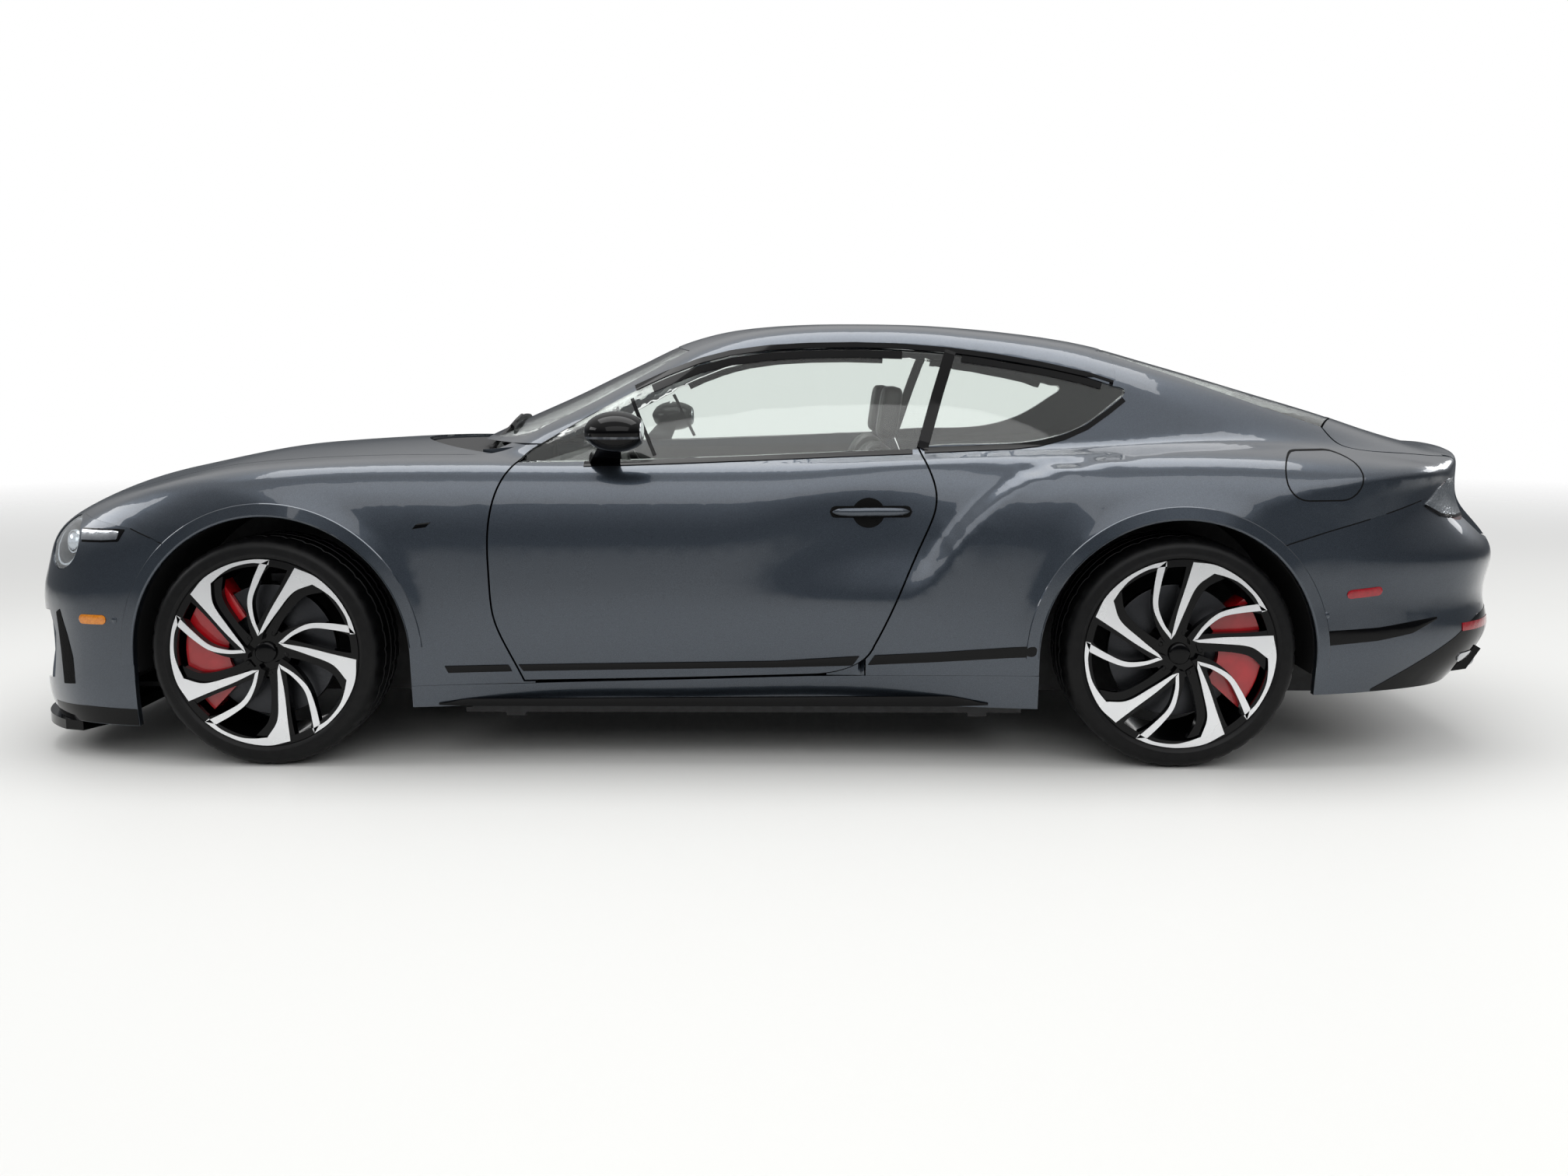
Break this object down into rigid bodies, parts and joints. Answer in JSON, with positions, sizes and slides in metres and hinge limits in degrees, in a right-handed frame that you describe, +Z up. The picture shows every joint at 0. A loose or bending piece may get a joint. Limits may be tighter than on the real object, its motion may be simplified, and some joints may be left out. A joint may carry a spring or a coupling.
{
  "type": "two-door coupe car",
  "caption": "Low two-door coupe with a long bonnet, muscular haunches, fastback roof, oval lamps and multi-spoke wheels; doors, lids, steering and wheels move.",
  "frame": {"origin": "centre of the bounding box on the ground plane under the tyres", "axes": "+X towards the tail, +Y towards the car's right, +Z up"},
  "size_m": [4.903, 2.1846, 1.4001],
  "materials": {
    "paint": "dark blue-grey metallic, clear coat",
    "clear_glass": "clear, slightly green",
    "black_trim": "gloss black",
    "head_lamp": "clear lens over bright reflector",
    "tail_lamp": "red lens",
    "dark_plastic": "grained",
    "bright_metal": "polished",
    "rim": "machined face, black pockets",
    "tyre": "moulded rubber",
    "steel": "cast, coated",
    "caliper": "red lacquer",
    "underbody": "satin black primer",
    "engine": "cast block",
    "interior_trim": "dark grained",
    "leather": "dark brown hide"
  },
  "bodies": {
    "body": {"wings": "paint", "quarter_glass": "clear_glass", "roof": "paint", "windscreen": "clear_glass", "rear_screen": "clear_glass", "quarters": "paint", "front_bumper": "paint", "rear_bumper": "paint", "grille": "black_trim", "headlamps": "head_lamp", "tail_lamps": "tail_lamp", "sills": "paint", "splitter": "black_trim", "cowl": "dark_plastic", "diffuser": "black_trim", "exhaust_tips": "bright_metal", "rear_calipers": "caliper", "front_axle": "steel", "rear_axle": "steel", "floor": "underbody", "arch_liners": "dark_plastic", "engine": "engine", "dashboard": "interior_trim", "steering_wheel": "interior_trim", "front_seats": "leather", "rear_seat": "leather"},
    "front_lid": {"bonnet": "paint"},
    "rear_lid": {"boot_lid": "paint"},
    "left_door": {"door_l": "paint", "door_glass_l": "clear_glass", "mirror_l": "black_trim"},
    "right_door": {"door_r": "paint", "door_glass_r": "clear_glass", "mirror_r": "black_trim"},
    "left_knuckle": {"knuckle_fl": "steel", "caliper_fl": "caliper"},
    "right_knuckle": {"knuckle_fr": "steel", "caliper_fr": "caliper"},
    "front_left_wheel": {"wheel_fl": "rim", "tyre_fl": "tyre"},
    "front_right_wheel": {"wheel_fr": "rim", "tyre_fr": "tyre"},
    "rear_left_wheel": {"wheel_rl": "rim", "tyre_rl": "tyre"},
    "rear_right_wheel": {"wheel_rr": "rim", "tyre_rr": "tyre"}
  },
  "joints": [
    {"name": "left_door_hinge", "type": "hinge", "parent": "body", "child": "left_door", "pos_m": [-0.7525, -0.934, 0.6], "axis": [0, 0, -1], "range_deg": [0, 65]},
    {"name": "right_door_hinge", "type": "hinge", "parent": "body", "child": "right_door", "pos_m": [-0.7525, 0.934, 0.6], "axis": [0, 0, 1], "range_deg": [0, 65]},
    {"name": "front_lid_hinge", "type": "hinge", "parent": "body", "child": "front_lid", "pos_m": [-0.8925, 0, 0.956], "axis": [0, 1, 0], "range_deg": [0, 55]},
    {"name": "rear_lid_hinge", "type": "hinge", "parent": "body", "child": "rear_lid", "pos_m": [1.6875, 0, 1.015], "axis": [0, -1, 0], "range_deg": [0, 60]},
    {"name": "left_steering", "type": "hinge", "parent": "body", "child": "left_knuckle", "pos_m": [-1.5425, -0.7725, 0.363], "axis": [0, 0, 1], "range_deg": [-32, 32]},
    {"name": "right_steering", "type": "hinge", "parent": "body", "child": "right_knuckle", "pos_m": [-1.5425, 0.7725, 0.363], "axis": [0, 0, 1], "range_deg": [-32, 32]},
    {"name": "front_left_spin", "type": "hinge", "parent": "left_knuckle", "child": "front_left_wheel", "pos_m": [-1.5425, -0.8325, 0.363], "axis": [0, 1, 0], "continuous": true},
    {"name": "front_right_spin", "type": "hinge", "parent": "right_knuckle", "child": "front_right_wheel", "pos_m": [-1.5425, 0.8325, 0.363], "axis": [0, 1, 0], "continuous": true},
    {"name": "rear_left_spin", "type": "hinge", "parent": "body", "child": "rear_left_wheel", "pos_m": [1.3085, -0.8175, 0.363], "axis": [0, 1, 0], "continuous": true},
    {"name": "rear_right_spin", "type": "hinge", "parent": "body", "child": "rear_right_wheel", "pos_m": [1.3085, 0.8175, 0.363], "axis": [0, 1, 0], "continuous": true}
  ],
  "couplings": [
    {"joint": "right_steering", "follows": "left_steering", "ratio": 1}
  ]
}
